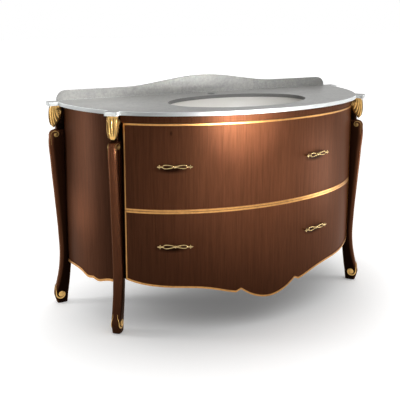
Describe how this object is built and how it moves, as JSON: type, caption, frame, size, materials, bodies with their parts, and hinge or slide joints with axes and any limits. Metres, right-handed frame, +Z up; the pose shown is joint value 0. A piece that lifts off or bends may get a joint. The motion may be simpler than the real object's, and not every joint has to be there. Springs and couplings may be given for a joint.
{
  "type": "vanity unit",
  "caption": "Bow-fronted wooden vanity unit on scrolled legs with gilt trim: marble top over an oval undermounted basin, shaped upstand, and wide drawers with knot pulls.",
  "frame": {"origin": "on the floor, under the middle of the overall plan", "axes": "+X to the right seen from the front, +Y to the wall, +Z up; the drawers open along -Y"},
  "size_m": [1.478, 0.625, 0.96],
  "materials": {
    "veneer": "satin lacquer over dark figured veneer, vertical grain",
    "carcass_board": "plain lacquered board",
    "drawer_wood": "clear lacquered solid wood",
    "gilding": "aged gold leaf on carved wood, satin",
    "marble": "polished pale grey marble with soft veins",
    "basin_ceramic": "white glaze",
    "chrome": "polished",
    "antique_brass": "antique brass, dark in the hollows",
    "steel": "zinc plated sheet",
    "glide_plastic": "matte"
  },
  "bodies": {
    "carcass": {"back_panel": "carcass_board", "basin": "basin_ceramic", "bottom_panel": "carcass_board", "foot_glides": "glide_plastic", "front_frieze_rail": "veneer", "leg_cap_front_left": "gilding", "leg_cap_front_right": "gilding", "leg_cap_rear_left": "gilding", "leg_cap_rear_right": "gilding", "leg_front_left": "veneer", "leg_front_right": "veneer", "leg_rear_left": "veneer", "leg_rear_right": "veneer", "lower_rail_left": "steel", "lower_rail_right": "steel", "marble_top": "marble", "marble_upstand": "marble", "partition_left": "carcass_board", "partition_right": "carcass_board", "side_bead_left": "gilding", "side_bead_right": "gilding", "side_panel_left": "veneer", "side_panel_right": "veneer", "slab_brackets": "steel", "trap_body": "chrome", "trap_cup": "chrome", "trap_inlet_pipe": "chrome", "trap_outlet_pipe": "chrome", "trap_wall_rose": "chrome", "upper_rail_left": "steel", "upper_rail_right": "steel", "waste_body": "chrome", "waste_nut": "chrome"},
    "upper_drawer": {"upper_drawer_back": "drawer_wood", "upper_drawer_bead": "gilding", "upper_drawer_floor": "drawer_wood", "upper_drawer_front": "veneer", "upper_drawer_side_left": "drawer_wood", "upper_drawer_side_right": "drawer_wood", "upper_drawer_well": "drawer_wood", "upper_pull_left": "antique_brass", "upper_pull_right": "antique_brass", "upper_pull_screws": "antique_brass", "upper_runner_left": "steel", "upper_runner_right": "steel"},
    "lower_drawer": {"lower_drawer_back": "drawer_wood", "lower_drawer_bead": "gilding", "lower_drawer_floor": "drawer_wood", "lower_drawer_front": "veneer", "lower_drawer_side_left": "drawer_wood", "lower_drawer_side_right": "drawer_wood", "lower_pull_left": "antique_brass", "lower_pull_right": "antique_brass", "lower_pull_screws": "antique_brass", "lower_runner_left": "steel", "lower_runner_right": "steel"},
    "waste_plug": {"waste_plug": "chrome"}
  },
  "joints": [
    {"name": "upper_drawer_slide", "type": "slide", "parent": "carcass", "child": "upper_drawer", "axis": [0, -1, 0], "range_m": [0, 0.29]},
    {"name": "lower_drawer_slide", "type": "slide", "parent": "carcass", "child": "lower_drawer", "axis": [0, -1, 0], "range_m": [0, 0.29]},
    {"name": "waste_plug_lift", "type": "slide", "parent": "carcass", "child": "waste_plug", "axis": [0, 0, 1], "range_m": [0, 0.008]}
  ]
}
